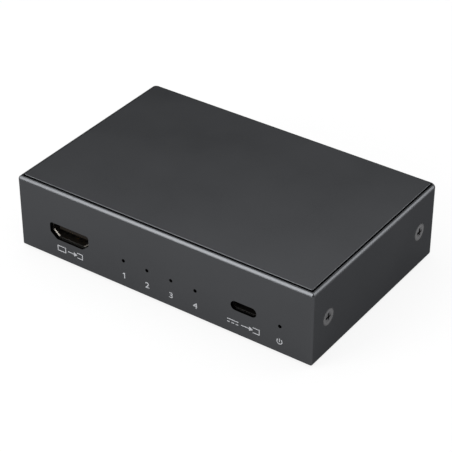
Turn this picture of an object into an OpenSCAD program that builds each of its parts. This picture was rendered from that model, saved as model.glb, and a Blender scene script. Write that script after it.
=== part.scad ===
// One-to-four video splitter: a folded metal box with one input socket and a power socket in
// front, four output sockets behind, and a board that carries them. Millimetres, Z up, front
// towards -Y, origin under the middle of the box on the surface that it stands on.

/* [Housing] */
// Outer width of the tray
body_w = 107; // [104:0.5:125]
// Outer depth of the tray, front to rear
body_d = 69.5; // [66:0.5:90]
// Height of the tray from its underside to its rim
body_h = 25; // [23:0.5:35]
// Sheet thickness of the tray's walls
wall_t = 1; // [0.9:0.1:1.4]
// Sheet thickness of the tray's floor
floor_t = 1; // [0.8:0.1:2]
// Outer radius of the tray's upright edges behind
edge_r = 1.8; // [1:0.1:2.4]
// Outer radius of the tray's upright edges in front
front_edge_r = 0.6; // [0.3:0.1:1]
// Outer radius of the tray's lower edges
lower_edge_r = 0.4; // [0.2:0.1:0.8]
// How far the bevel round the tray's rim reaches inwards
rim_bevel = 0.55; // [0.3:0.05:1]
// How far that bevel reaches down
rim_drop = 0.9; // [0.3:0.1:1.5]
// Radius of the crown on that bevel
rim_r = 1.8; // [1:0.1:4]

/* [Cover] */
// Sheet thickness of the cover
cover_t = 1; // [0.8:0.1:1.4]
// Gap between the cover's edge and the inside of the tray
cover_gap = 0.45; // [0.3:0.05:0.8]
// How far the cover stands above the tray's rim
cover_proud = 0.4; // [0:0.05:0.5]
// Outer radius of the cover's folded edges
fold_r = 0.15; // [0.1:0.05:0.6]
// Height of the lips that are folded down in front and behind
lip_h = 4; // [2:0.5:6]
// Distance from the cover's corners to its folded sides and lips
fold_relief = 3; // [2:0.5:5]

/* [Screws] */
// Thread diameter of every screw
screw_d = 3; // [2.5:0.1:3.2]
// Head diameter of a countersunk cover screw
csk_head_d = 5.6; // [5.2:0.1:6]
// Straight land at the rim of a countersunk head
csk_land = 0.1; // [0.05:0.05:0.2]
// Length of a cover screw with its head
csk_length = 5; // [4:0.5:6]
// Distance of the front cover screws from the front of the tray
csk_inset = 8.3; // [8:0.1:14]
// Distance of the rear cover screws from the rear of the tray
csk_rear_inset = 9.5; // [8:0.1:14]
// Height of the cover screws above the tray's underside
csk_rise = 12.5; // [11:0.1:14]
// Head diameter of a board screw
pan_head_d = 5.5; // [5:0.1:6]
// Head height of a board screw
pan_head_h = 2; // [1.6:0.1:2.4]
// How far a board screw reaches into its standoff
pan_reach = 3.4; // [3:0.1:3.8]
// Span of the cross recess in a screw head
recess_span = 3.2; // [2.6:0.1:3.6]
// Width of a wing of the cross recess
recess_w = 0.75; // [0.6:0.05:0.9]
// Depth of the cross recess
recess_depth = 1.2; // [1:0.1:1.3]

/* [Feet] */
// Diameter of a rubber foot
foot_d = 9; // [7:0.5:12]
// How far a foot stands below the tray
foot_proud = 1; // [0.8:0.1:3]
// Depth of the seat that a foot is stuck into
foot_seat = 0.3; // [0.2:0.1:0.5]
// Radius round the underside of a foot
foot_r = 0.4; // [0.2:0.1:0.6]
// Distance from the tray's sides to a foot's middle
foot_inset = 10; // [8:0.5:14]

/* [Board] */
// Thickness of the circuit board
board_t = 1.6; // [1:0.2:2]
// Height of the standoffs under the board
standoff_h = 4.8; // [4.4:0.1:6]
// Diameter of a standoff
standoff_d = 6; // [5:0.5:6]
// Diameter of the spigot that locates a standoff in the floor
spigot_d = 3.6; // [3:0.2:4]
// Depth of the spigot in the floor
spigot_l = 0.5; // [0.3:0.1:0.6]
// Gap between the board and the folded sides of the cover
board_side_gap = 2.1; // [1.5:0.1:2.5]
// Gap between the board and the front and rear of the tray
board_end_gap = 0.8; // [0.5:0.1:1.2]
// Diameter of a mounting hole in the board
board_hole_d = 3.4; // [3.4:0.1:3.8]
// Distance of the mounting holes from the board's sides
hole_inset_x = 3.5; // [3:0.1:4]
// Distance of the mounting holes from the board's front and rear
hole_inset_y = 17; // [16.5:0.5:20]

/* [Video sockets] */
// Inside width of a video socket's mouth
mouth_w = 14; // [13.8:0.1:14.4]
// Inside height of the mouth
mouth_h = 4.55; // [4.4:0.05:4.8]
// Width of the slope at each lower corner of the mouth
slope_w = 2.2; // [1.8:0.1:2.4]
// Height of that slope
slope_h = 1.85; // [1.5:0.05:2]
// Radius inside the mouth's corners
mouth_r = 0.4; // [0.2:0.1:0.6]
// Sheet thickness of a socket's shell
shell_t = 0.3; // [0.2:0.05:0.4]
// Length of a video socket's shell
shell_l = 11.4; // [10.5:0.1:12.5]
// Room between a shell and its cut-out in the panel
port_gap = 0.2; // [0.1:0.05:0.3]
// Distance from the inside of the panel to a socket's mouth
port_setback = 0.2; // [0.1:0.05:0.4]
// Width of a shell's solder leg
leg_w = 1.6; // [1.2:0.1:2]
// Distance from the ends of the shell to the middle of a leg
leg_inset = 2.6; // [2.5:0.1:3.5]
// How far a leg stands out below the board
leg_past = 0.8; // [0.4:0.1:1.5]
// Room round a leg in its slot in the board
leg_gap = 0.15; // [0.1:0.05:0.25]
// Width of a spring finger in the shell
spring_w = 1.8; // [1.4:0.1:2.2]
// Length of a spring finger
spring_l = 4.5; // [3.5:0.1:5]
// Distance of the spring fingers from the socket's middle
spring_x = 2.6; // [2.3:0.1:3]
// Distance from the mouth to the root of a spring finger
spring_y = 2; // [1.5:0.1:2.5]
// Width of the slot round a spring finger
spring_slot = 0.4; // [0.3:0.05:0.5]
// How far a finger's ridge presses into the mouth
spring_press = 0.25; // [0.15:0.05:0.3]
// Width of the tongue that carries the contacts
tongue_w = 11; // [10.6:0.1:11.6]
// Thickness of the tongue
tongue_t = 1.5; // [1.2:0.1:1.8]
// Height of the tongue's middle above the middle of the mouth
tongue_rise = 0.1; // [0:0.05:0.2]
// Distance from the mouth to the tip of the tongue
tongue_setback = 1; // [0.6:0.1:1.5]
// Length of the insulating block behind the tongue
block_l = 3.2; // [2.5:0.1:4]
// Number of contacts on the upper face of the tongue
contact_count = 10; // [6:1:10]
// Spacing of the contacts
contact_pitch = 1; // [0.95:0.01:1.05]
// Width of a contact
contact_w = 0.4; // [0.3:0.02:0.42]

/* [Power socket] */
// Inside width of the power socket's mouth
power_w = 8.34; // [8.2:0.02:8.6]
// Inside height of the mouth
power_h = 2.56; // [2.4:0.02:2.7]
// Sheet thickness of its shell
power_shell_t = 0.25; // [0.2:0.05:0.35]
// Length of its shell
power_l = 7.3; // [6.5:0.1:9]
// Distance from the ends of its shell to the middle of a solder leg
power_leg_inset = 1.6; // [1.2:0.1:2]
// Height of the mouth's middle above the board
power_rise = 2.8; // [2.4:0.1:3.4]
// Room between the shell and its cut-out in the panel
power_gap = 0.08; // [0.06:0.02:0.2]
// Width of its tongue
power_tongue_w = 6.7; // [6.4:0.1:7]
// Thickness of its tongue
power_tongue_t = 0.7; // [0.6:0.05:0.9]
// Number of contacts on the upper face of its tongue
power_contact_count = 8; // [4:1:8]
// Spacing of its contacts
power_contact_pitch = 0.8; // [0.7:0.02:0.82]
// Width of its contacts
power_contact_w = 0.28; // [0.2:0.02:0.3]
// Length of the insulating block inside the rear of its shell
power_block_l = 2; // [1.5:0.1:2.5]
// Thickness of the insulator's wall behind the shell
power_back_t = 0.8; // [0.6:0.1:1.2]

/* [Contacts] */
// Thickness of the contact strip
contact_t = 0.15; // [0.1:0.01:0.2]
// How far the contacts stand proud of a tongue
contact_proud = 0.03; // [0.02:0.01:0.05]
// Distance from the tip of a tongue to the ends of its contacts
contact_setback = 0.4; // [0.3:0.1:0.8]
// Length of a contact's solder foot
contact_foot = 1; // [0.6:0.1:1.4]
// Gap between a block and the contact tails behind it
tail_gap = 0.3; // [0.1:0.05:0.5]

/* [Indicators] */
// Diameter of the hole in front of a light
led_hole_d = 1.2; // [0.8:0.1:2]
// Diameter of a light
led_d = 3; // [2.6:0.1:3]
// Length of a light from its tip to its flange
led_l = 5; // [4.5:0.1:6]
// Thickness of a light's flange
led_flange_t = 1; // [0.8:0.1:1.2]
// How far a light's flange stands out round its body
led_flange_w = 0.4; // [0.3:0.05:0.5]
// Height of a light's middle above the board
led_rise = 2.1; // [2:0.05:2.6]
// Distance from the inside of the panel to the tip of a light
led_setback = 0.3; // [0.1:0.05:0.5]
// Width of a light's holder
holder_w = 4.4; // [4:0.1:5]
// Length of a light's holder
holder_l = 3; // [2.6:0.1:3.2]
// Spacing of a light's two leads
lead_pitch = 2.54; // [2.2:0.02:2.8]
// Thickness of a lead
lead_t = 0.5; // [0.4:0.05:0.6]
// Diameter of a lead's hole in the board
lead_hole_d = 0.9; // [0.9:0.05:1.2]
// Length of a lead behind the flange before it turns down
lead_run = 1.2; // [1:0.1:1.6]

/* [Layout] */
// Middle of the input socket, from the middle of the box
input_x = -34.2; // [-36:0.1:-33]
// Number of output sockets
output_count = 4; // [2:1:4]
// Spacing of the output sockets
output_pitch = 24; // [22:0.5:24.5]
// Middle of the power socket
power_x = 30.1; // [28:0.1:31]
// Middle of the first numbered light
status_x = -13.4; // [-15:0.1:-12]
// Spacing of the numbered lights
status_pitch = 8.8; // [8:0.01:9]
// Middle of the power light
power_led_x = 42.6; // [41.5:0.1:43]

/* [Components] */
// Side of the splitter chip
chip_w = 14; // [10:0.5:18]
// Height of the splitter chip
chip_h = 1.4; // [0.8:0.1:2]
// Distance of the splitter chip behind the middle of the board
chip_y = 3; // [0:0.5:5]
// Thickness of the pad between the chip and its heat sink
pad_t = 0.5; // [0.3:0.1:1]
// Side of the heat sink
sink_w = 22; // [20:0.5:24]
// Thickness of the heat sink's base
sink_base_t = 2; // [1.5:0.1:3]
// Height of the heat sink's fins
sink_fin_h = 6; // [4:0.5:8]
// Number of fins
sink_fins = 7; // [5:1:9]
// Thickness of a fin
sink_fin_t = 1.1; // [0.8:0.1:1.4]
// Side of the control chip
control_w = 7; // [5:0.5:9]
// Height of the control chip
control_h = 1; // [0.8:0.1:1.4]
// Length of the crystal's can
crystal_l = 11; // [9:0.5:12]
// Width of the crystal's can
crystal_w = 4.6; // [4:0.1:5]
// Height of the crystal's can
crystal_h = 3.4; // [2.5:0.1:4]
// Side of the power inductor
inductor_w = 7; // [5:0.5:8]
// Height of the power inductor
inductor_h = 4; // [3:0.1:5]
// Diameter of a bulk capacitor's can
can_d = 6.3; // [5:0.1:6.5]
// Height of a bulk capacitor's can
can_h = 5.4; // [4:0.1:8]
// Thickness of the base under a capacitor's can
can_base_t = 0.6; // [0.4:0.1:1]
// Length of the regulator chip
regulator_l = 5; // [4:0.1:6]
// Width of the regulator chip
regulator_w = 4; // [3:0.1:5]
// Height of the regulator chip
regulator_h = 1.5; // [1:0.1:2]

/* [Hidden] */
$fn = 48;
// How far a cutter reaches past the face that it cuts
over = 0.5;
// Room round a piece that fits inside another
fit = 0.05;
// Straight steps in a rounded corner of an outline
arc_steps = 3;

tray_z = foot_proud;
inside_z = tray_z + floor_t;
rim_z = tray_z + body_h;
cover_z = rim_z + cover_proud;
cover_w = body_w - 2 * (wall_t + cover_gap);
cover_d = body_d - 2 * (wall_t + cover_gap);
csk_cone_h = (csk_head_d - screw_d) / 2;
csk_z = tray_z + csk_rise;
pad_margin = 1.2;
pad_d = csk_head_d + 2 * pad_margin;
collar_wall = 0.9;
collar_d = screw_d + 2 * collar_wall;
collar_l = 1;

board_w = cover_w - 2 * (cover_t + board_side_gap);
board_d = body_d - 2 * (wall_t + board_end_gap);
board_z = inside_z + standoff_h;
top_z = board_z + board_t;
hole_x = board_w / 2 - hole_inset_x;
hole_y = board_d / 2 - hole_inset_y;

// The mouths' distance from the middle of the box, and the sockets' height
port_y = body_d / 2 - wall_t - port_setback;
port_z = top_z + shell_t + mouth_h / 2;
power_z = top_z + power_rise;
led_y = body_d / 2 - wall_t - led_setback;
led_z = top_z + led_rise;
block_y = shell_l - block_l;
tail_y = shell_l + tail_gap;
power_tail_y = power_l + power_back_t + tail_gap;
holder_y = led_l - holder_l;
lead_y = led_l + led_flange_t + lead_run;

status_xs = [for (i = [0:3]) status_x + i * status_pitch];
led_xs = concat(status_xs, [power_led_x]);
output_xs = [for (i = [1:output_count]) ((output_count + 1) / 2 - i) * output_pitch];

// Middles of the loose components on the board
control_place = [-24, -8];
crystal_place = [-24, 3];
regulator_place = [32, -13];
inductor_place = [30, -4];
capacitor_places = [[15.5, -17], [23.5, -17], [40, 2]];

STATUS_NODES = [for (i = [1:4]) str("status_led_", i)];
OUTPUT_NODES = [for (i = [1:output_count], part = ["shell", "insulator", "contacts"])
    str("output_", i, "_", part)];

CASE_GREY = "#46474a";
STEEL = "#b9bbbd";
SCREW_GREY = "#77787a";
BLACK = "#18181a";
GOLD = "#c9a24a";
BOARD_BLACK = "#1a1e1d";
ALUMINIUM = "#a9adb0";
LENS = "#e6ebe4";

// Unit vector at an angle, and a vector brought to unit length
function ray(angle) = [cos(angle), sin(angle)];
function unit(v) = v / norm(v);

// An anticlockwise convex outline with its corners rounded to radius r
function rounded(points, r) = let (n = len(points)) [
    for (i = [0:n - 1])
        let (corner = points[i],
             back = unit(points[(i + n - 1) % n] - corner),
             ahead = unit(points[(i + 1) % n] - corner),
             half = acos(back * ahead) / 2,
             middle = corner + unit(back + ahead) * r / sin(half),
             from = corner + back * r / tan(half) - middle,
             start = atan2(from.y, from.x))
        for (k = [0:arc_steps]) middle + r * ray(start + k * (180 - 2 * half) / arc_steps)];

// The video mouth's outline, grown evenly by g: flat top, upright sides, sloped lower corners
function mouth_outline(g) =
    let (w = mouth_w / 2 + g,
         h = mouth_h / 2 + g,
         slope = atan2(slope_h, slope_w),
         side_z = slope_h - mouth_h / 2 - g * (1 - sin(slope)) / cos(slope),
         foot_x = mouth_w / 2 - slope_w + g * (1 - cos(slope)) / sin(slope))
    rounded([[-foot_x, -h], [foot_x, -h], [w, side_z], [w, h], [-w, h], [-w, side_z]], mouth_r + g);

// A contact's side view: a strip on the tongue at height z, a tail down to the board, and a foot
function contact_path(z, from_y, to_y, board) = [
    [from_y, z], [to_y, z], [to_y, board], [to_y + contact_foot, board],
    [to_y + contact_foot, board + contact_t], [to_y + contact_t, board + contact_t],
    [to_y + contact_t, z + contact_t], [from_y, z + contact_t]];

// Extrudes an outline drawn in X and Z backwards from the XZ plane
module along_y(length) {
    translate([0, length, 0]) rotate([90, 0, 0]) linear_extrude(length) children();
}

// Extrudes an outline drawn in Y and Z evenly to both sides of the YZ plane
module along_x(length) {
    rotate([90, 0, 90]) linear_extrude(length, center = true) children();
}

module rounded_rect(w, d, r) {
    square([w - 2 * r, d], center = true);
    square([w, d - 2 * r], center = true);
    for (x = [-1, 1], y = [-1, 1]) translate([x * (w / 2 - r), y * (d / 2 - r)]) circle(r);
}

// An outline w by d with its front corners rounded to front_r and its rear corners to rear_r
module tray_outline(w, d, front_r, rear_r) {
    front_x = w / 2 - front_r;
    rear_x = w / 2 - rear_r;
    front_y = front_r - d / 2;
    rear_y = d / 2 - rear_r;
    polygon([[-front_x, -d / 2], [front_x, -d / 2], [w / 2, front_y], [w / 2, rear_y],
             [rear_x, d / 2], [-rear_x, d / 2], [-w / 2, rear_y], [-w / 2, front_y]]);
    for (x = [-1, 1]) {
        translate([x * front_x, front_y]) circle(front_r);
        translate([x * rear_x, rear_y]) circle(rear_r);
    }
}

module stadium(w, h) {
    square([w - h, h], center = true);
    for (x = [-1, 1]) translate([x * (w - h) / 2, 0]) circle(h / 2);
}

// What a round takes off a square edge, the edge at the origin
module edge_waste(r) {
    difference() {
        translate([-r, -r]) square(r + over);
        translate([-r, -r]) circle(r);
    }
}

// What a crowned bevel takes off such an edge, from the distances across and down on
module bevel_waste(across, down, crown_r) {
    chord = norm([across, down]);
    sink = sqrt(crown_r * crown_r - chord * chord / 4);
    difference() {
        translate([-across - fit, -down - fit]) square([across + fit + over, down + fit + over]);
        translate(-[across, down] / 2 - [down, across] * sink / chord) circle(crown_r);
    }
}

// Leads what is taken off an edge, which reaches in by reach, along all top edges of a plate whose
// corners have the radius front_r in front and rear_r behind
module along_top_edges(w, d, front_r, rear_r, reach) {
    for (front = [false, true]) rotate(front ? 180 : 0) {
        corner_r = max(front ? front_r : rear_r, reach);
        far_r = max(front ? rear_r : front_r, reach);
        translate([corner_r - w / 2, d / 2, 0]) rotate([90, 0, 90])
            linear_extrude(w - 2 * corner_r) children();
        translate([w / 2, d / 2 - corner_r, 0]) rotate([90, 0, 0])
            linear_extrude(d - corner_r - far_r) children();
        for (side = [-1, 1])
            translate([side * (w / 2 - corner_r), d / 2 - corner_r, 0]) rotate(45 - 45 * side)
                rotate_extrude(angle = 90) intersection() {
                    translate([corner_r, 0]) children();
                    translate([0, -w / 2]) square(w);
                }
    }
}

module at_input() {
    translate([input_x, -port_y, port_z]) children();
}

module at_output(i) {
    translate([output_xs[i - 1], port_y, port_z]) rotate(180) children();
}

module at_video_sockets() {
    at_input() children();
    for (i = [1:output_count]) at_output(i) children();
}

module at_power() {
    translate([power_x, -port_y, power_z]) children();
}

module at_led(x) {
    translate([x, -led_y, led_z]) children();
}

module at_cover_screws() {
    for (side = [-1, 1], y = [csk_inset - body_d / 2, body_d / 2 - csk_rear_inset])
        translate([side * body_w / 2, y, csk_z]) rotate([0, 90 * side, 0]) children();
}

module at_board_holes() {
    for (x = [-1, 1], y = [-1, 1]) translate([x * hole_x, y * hole_y, 0]) children();
}

module at_feet() {
    for (x = [-1, 1], y = [-1, 1])
        translate([x * (body_w / 2 - foot_inset), y * (body_d / 2 - foot_inset), 0]) children();
}

// A countersunk screw with its head's face at the origin, grown by room, and reaching past its head
module countersunk(room, past) {
    translate([0, 0, -csk_land]) cylinder(h = csk_land + past, d = csk_head_d + 2 * room);
    translate([0, 0, -csk_land - csk_cone_h])
        cylinder(h = csk_cone_h, d1 = screw_d + 2 * room, d2 = csk_head_d + 2 * room);
    translate([0, 0, -csk_length - room]) cylinder(h = csk_length, d = screw_d + 2 * room);
}

// The cross recess of a screw head: crossed wings that narrow towards the bottom
module cross_recess() {
    intersection() {
        translate([0, 0, -recess_depth])
            cylinder(h = recess_depth + over, d1 = recess_w, d2 = recess_span + recess_w / 2);
        for (turn = [0, 90]) rotate(turn)
            cube([recess_span, recess_w, 2 * recess_depth + over], center = true);
    }
}

module base_tray() {
    inner_r = 0.2;
    rim_land = 0.1;
    bevel_w = min(rim_bevel, wall_t - rim_land);
    power_grow = power_shell_t + power_gap;
    color(CASE_GREY) difference() {
        union() {
            difference() {
                translate([0, 0, tray_z]) linear_extrude(body_h)
                    tray_outline(body_w, body_d, front_edge_r, edge_r);
                translate([0, 0, rim_z]) along_top_edges(body_w, body_d, front_edge_r, edge_r, bevel_w)
                    bevel_waste(bevel_w, rim_drop, rim_r);
                translate([0, 0, tray_z]) mirror([0, 0, 1])
                    along_top_edges(body_w, body_d, front_edge_r, edge_r, lower_edge_r)
                        edge_waste(lower_edge_r);
                translate([0, 0, inside_z]) linear_extrude(body_h)
                    tray_outline(body_w - 2 * wall_t, body_d - 2 * wall_t,
                                 max(front_edge_r - wall_t, inner_r), max(edge_r - wall_t, inner_r));
            }
            at_cover_screws() translate([0, 0, -wall_t - cover_gap])
                cylinder(h = wall_t / 2 + cover_gap, d = pad_d);
        }
        at_cover_screws() countersunk(fit, over);
        at_video_sockets() translate([0, -port_setback - wall_t - over, 0])
            along_y(wall_t + 2 * over) polygon(mouth_outline(shell_t + port_gap));
        at_power() translate([0, -port_setback - wall_t - over, 0]) along_y(wall_t + 2 * over)
            stadium(power_w + 2 * power_grow, power_h + 2 * power_grow);
        for (x = led_xs) at_led(x) translate([0, -led_setback - wall_t - over, 0])
            rotate([-90, 0, 0]) cylinder(h = wall_t + 2 * over, d = led_hole_d);
        at_feet() translate([0, 0, tray_z - over])
            cylinder(h = foot_seat + over, d = foot_d + 2 * fit);
        at_board_holes() translate([0, 0, inside_z - spigot_l - fit])
            cylinder(h = spigot_l + over, d = spigot_d + 2 * fit);
    }
}

module top_cover() {
    corner_r = max(fold_r, 0.3);
    side_h = cover_z - cover_t / 2 - inside_z;
    color(CASE_GREY) difference() {
        union() {
            translate([0, 0, cover_z - cover_t]) difference() {
                linear_extrude(cover_t) rounded_rect(cover_w, cover_d, corner_r);
                translate([0, 0, cover_t]) along_top_edges(cover_w, cover_d, corner_r, corner_r, fold_r)
                    edge_waste(fold_r);
            }
            for (side = [-1, 1]) {
                translate([side * (cover_w - cover_t) / 2, 0, inside_z + side_h / 2])
                    cube([cover_t, cover_d - 2 * fold_relief, side_h], center = true);
                translate([0, side * (cover_d - cover_t) / 2, cover_z - cover_t - lip_h / 2])
                    cube([cover_w - 2 * fold_relief, cover_t, lip_h + cover_t], center = true);
            }
            at_cover_screws() translate([0, 0, -wall_t - cover_gap - cover_t - collar_l])
                cylinder(h = collar_l + cover_t / 2, d = collar_d);
        }
        at_cover_screws() countersunk(fit, over);
    }
}

module cover_screws() {
    color(SCREW_GREY) at_cover_screws() difference() {
        countersunk(0, 0);
        cross_recess();
    }
}

module rubber_feet() {
    height = foot_proud + foot_seat;
    color(BLACK) at_feet() rotate_extrude() difference() {
        square([foot_d / 2, height]);
        translate([foot_d / 2, 0]) mirror([0, 1]) edge_waste(foot_r);
    }
}

module circuit_board() {
    lead_back = lead_y - lead_t / 2;
    color(BOARD_BLACK) difference() {
        translate([-board_w / 2, -board_d / 2, board_z]) cube([board_w, board_d, board_t]);
        at_board_holes() translate([0, 0, board_z - over])
            cylinder(h = board_t + 2 * over, d = board_hole_d);
        at_video_sockets() shell_legs(mouth_w, shell_t, shell_l, leg_inset, port_z - top_z, leg_gap);
        at_power() shell_legs(power_w, power_shell_t, power_l, power_leg_inset, power_rise, leg_gap);
        for (x = led_xs, side = [-1, 1])
            at_led(x) translate([side * lead_pitch / 2, lead_back, -led_rise - board_t - over])
                cylinder(h = board_t + 2 * over, d = lead_hole_d);
    }
}

module board_standoffs() {
    bore_spare = 0.4;
    bore_h = pan_reach + bore_spare;
    color(GOLD) at_board_holes() difference() {
        union() {
            translate([0, 0, inside_z]) cylinder(h = standoff_h, d = standoff_d);
            translate([0, 0, inside_z - spigot_l]) cylinder(h = spigot_l + fit, d = spigot_d);
        }
        translate([0, 0, board_z - bore_h]) cylinder(h = bore_h + over, d = screw_d + 2 * fit);
    }
}

module board_screws() {
    color(STEEL) at_board_holes() translate([0, 0, top_z]) difference() {
        union() {
            rotate_extrude() difference() {
                square([pan_head_d / 2, pan_head_h]);
                translate([pan_head_d / 2, pan_head_h]) edge_waste(pan_head_h / 2);
            }
            translate([0, 0, -board_t - pan_reach])
                cylinder(h = board_t + pan_reach + pan_head_h / 2, d = screw_d);
        }
        translate([0, 0, pan_head_h]) cross_recess();
    }
}

// The four solder legs of a socket whose mouth is w wide and stands rise above the board
module shell_legs(w, t, length, inset, rise, room) {
    drop = rise + board_t + leg_past;
    for (side = [-1, 1], y = [inset, length - inset])
        translate([side * (w + t) / 2, y, -drop / 2])
            cube([t + 2 * room, leg_w + 2 * room, drop], center = true);
}

module video_shell() {
    free_y = spring_y + spring_l;
    color(STEEL) difference() {
        union() {
            along_y(shell_l) polygon(mouth_outline(shell_t));
            shell_legs(mouth_w, shell_t, shell_l, leg_inset, port_z - top_z, 0);
        }
        difference() {
            translate([0, -over, 0]) along_y(shell_l + 2 * over) polygon(mouth_outline(0));
            for (x = [-1, 1], z = [-1, 1])
                translate([x * spring_x, free_y - spring_w / 2, z * mouth_h / 2]) spring_ridge();
        }
        for (x = [-1, 1], z = [-1, 1])
            translate([x * spring_x, spring_y, z * (mouth_h + shell_t) / 2]) spring_slots();
    }
}

// The U-shaped slot that frees a finger on three sides
module spring_slots() {
    slot_h = 2 * shell_t;
    for (side = [-1, 1]) translate([side * (spring_w + spring_slot) / 2, (spring_l + spring_slot) / 2, 0])
        cube([spring_slot, spring_l + spring_slot, slot_h], center = true);
    translate([0, spring_l + spring_slot / 2, 0])
        cube([spring_w + spring_slot, spring_slot, slot_h], center = true);
}

// The rounded ridge near the free end of a finger, standing spring_press into the mouth
module spring_ridge() {
    ridge_r = 2 * spring_press;
    rotate([0, 90, 0]) intersection() {
        for (side = [-1, 1]) translate([side * (ridge_r - spring_press), 0, 0])
            cylinder(h = spring_w, r = ridge_r, center = true);
    }
}

// A row of contacts across a tongue, each a strip that drops to the board behind its socket
module contact_row(count, pitch, w, z, from_y, to_y, board) {
    for (i = [0:count - 1]) translate([(i - (count - 1) / 2) * pitch, 0, 0])
        along_x(w) polygon(contact_path(z, from_y, to_y, board));
}

// The grooves and slots that a row of contacts lies in
module contact_slots(count, pitch, w, z, from_y, to_y) {
    for (i = [0:count - 1])
        translate([(i - (count - 1) / 2) * pitch - w / 2 - fit, from_y - fit, z - fit])
            cube([w + 2 * fit, to_y - from_y + over, contact_t + 2 * fit]);
}

// A tongue that reaches from its bevelled tip at the origin back over its length
module tongue(w, t, length) {
    bevel = t / 4;
    along_x(w) polygon([[0, bevel - t / 2], [bevel, -t / 2], [length, -t / 2],
                        [length, t / 2], [bevel, t / 2], [0, t / 2 - bevel]]);
}

// Heights of the upper and lower contact strips on a tongue of thickness t at height z
function strip_heights(z, t) =
    [z + t / 2 + contact_proud - contact_t, z - t / 2 - contact_proud];

module video_insulator() {
    heights = strip_heights(tongue_rise, tongue_t);
    strip_y = tongue_setback + contact_setback;
    color(BLACK) difference() {
        union() {
            translate([0, block_y, 0]) along_y(block_l) polygon(mouth_outline(-fit));
            translate([0, tongue_setback, tongue_rise])
                tongue(tongue_w, tongue_t, block_y + over - tongue_setback);
        }
        for (row = [0, 1])
            contact_slots(contact_count - row, contact_pitch, contact_w, heights[row], strip_y, shell_l);
    }
}

module video_contacts() {
    heights = strip_heights(tongue_rise, tongue_t);
    strip_y = tongue_setback + contact_setback;
    color(GOLD) for (row = [0, 1])
        contact_row(contact_count - row, contact_pitch, contact_w, heights[row], strip_y, tail_y,
                    top_z - port_z);
}

module power_shell() {
    color(STEEL) at_power() difference() {
        union() {
            along_y(power_l) stadium(power_w + 2 * power_shell_t, power_h + 2 * power_shell_t);
            shell_legs(power_w, power_shell_t, power_l, power_leg_inset, power_rise, 0);
        }
        translate([0, -over, 0]) along_y(power_l + 2 * over) stadium(power_w, power_h);
    }
}

module power_insulator() {
    heights = strip_heights(0, power_tongue_t);
    block_from = power_l - power_block_l;
    riser_top = -power_h / 2 - power_shell_t - fit;
    riser_w = power_w - power_h;
    strip_y = tongue_setback + contact_setback;
    color(BLACK) at_power() difference() {
        union() {
            translate([0, block_from, 0]) along_y(power_block_l + fit)
                stadium(power_w - 2 * fit, power_h - 2 * fit);
            translate([0, tongue_setback, 0])
                tongue(power_tongue_w, power_tongue_t, block_from + over - tongue_setback);
            translate([-riser_w / 2, power_l + fit, -power_rise])
                cube([riser_w, power_back_t - fit, power_rise + power_h / 2]);
            translate([-riser_w / 2, tongue_setback, -power_rise])
                cube([riser_w, power_l + power_back_t - tongue_setback, power_rise + riser_top]);
        }
        for (row = [0, 1])
            contact_slots(power_contact_count - row, power_contact_pitch, power_contact_w, heights[row],
                          strip_y, power_l + power_back_t);
    }
}

module power_contacts() {
    heights = strip_heights(0, power_tongue_t);
    strip_y = tongue_setback + contact_setback;
    color(GOLD) at_power() for (row = [0, 1])
        contact_row(power_contact_count - row, power_contact_pitch, power_contact_w, heights[row],
                    strip_y, power_tail_y, -power_rise);
}

// A light with a domed tip at the origin, pointing forwards
module led() {
    color(LENS) rotate([-90, 0, 0]) rotate_extrude() intersection() {
        union() {
            translate([0, led_d / 2]) circle(led_d / 2);
            translate([0, led_d / 2]) square([led_d / 2, led_l - led_d / 2]);
            translate([0, led_l]) square([led_d / 2 + led_flange_w, led_flange_t]);
        }
        square([led_d, led_l + led_flange_t]);
    }
}

module led_holders() {
    color(BLACK) for (x = led_xs) at_led(x) difference() {
        translate([-holder_w / 2, holder_y, -led_rise]) cube([holder_w, holder_l, 2 * led_rise]);
        translate([0, holder_y - over, 0]) rotate([-90, 0, 0])
            cylinder(h = holder_l + 2 * over, d = led_d + 2 * fit);
    }
}

module led_leads() {
    from_y = led_l + led_flange_t;
    drop = led_rise + board_t + leg_past;
    color(STEEL) for (x = led_xs, side = [-1, 1]) at_led(x) translate([side * lead_pitch / 2, 0, 0])
        along_x(lead_t) polygon([
            [from_y, -lead_t / 2], [lead_y - lead_t, -lead_t / 2], [lead_y - lead_t, -drop],
            [lead_y, -drop], [lead_y, lead_t / 2], [from_y, lead_t / 2]]);
}

module on_board(place) {
    translate([place.x, place.y, top_z]) children();
}

// A moulded chip: square body with a pin-one dimple in its top
module chip(l, w, h) {
    dimple_d = 0.8;
    dimple_depth = 0.1;
    difference() {
        translate([-l / 2, -w / 2, 0]) cube([l, w, h]);
        translate([dimple_d - l / 2, dimple_d - w / 2, h - dimple_depth])
            cylinder(h = over, d = dimple_d);
    }
}

module splitter_chip() {
    color(BLACK) on_board([0, chip_y]) chip(chip_w, chip_w, chip_h);
}

module thermal_pad() {
    pad_margin = 0.5;
    pad_w = chip_w - 2 * pad_margin;
    color("#8f8f96") on_board([0, chip_y]) translate([-pad_w / 2, -pad_w / 2, chip_h])
        cube([pad_w, pad_w, pad_t]);
}

module heat_sink() {
    fin_pitch = (sink_w - sink_fin_t) / (sink_fins - 1);
    color(ALUMINIUM) on_board([0, chip_y]) translate([-sink_w / 2, -sink_w / 2, chip_h + pad_t]) {
        cube([sink_w, sink_w, sink_base_t]);
        for (i = [0:sink_fins - 1]) translate([i * fin_pitch, 0, 0])
            cube([sink_fin_t, sink_w, sink_base_t + sink_fin_h]);
    }
}

module control_chip() {
    color(BLACK) on_board(control_place) chip(control_w, control_w, control_h);
}

module clock_crystal() {
    flange = 0.4;
    color(STEEL) on_board(crystal_place) {
        linear_extrude(flange) stadium(crystal_l + 2 * flange, crystal_w + 2 * flange);
        linear_extrude(crystal_h) stadium(crystal_l, crystal_w);
    }
}

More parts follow.
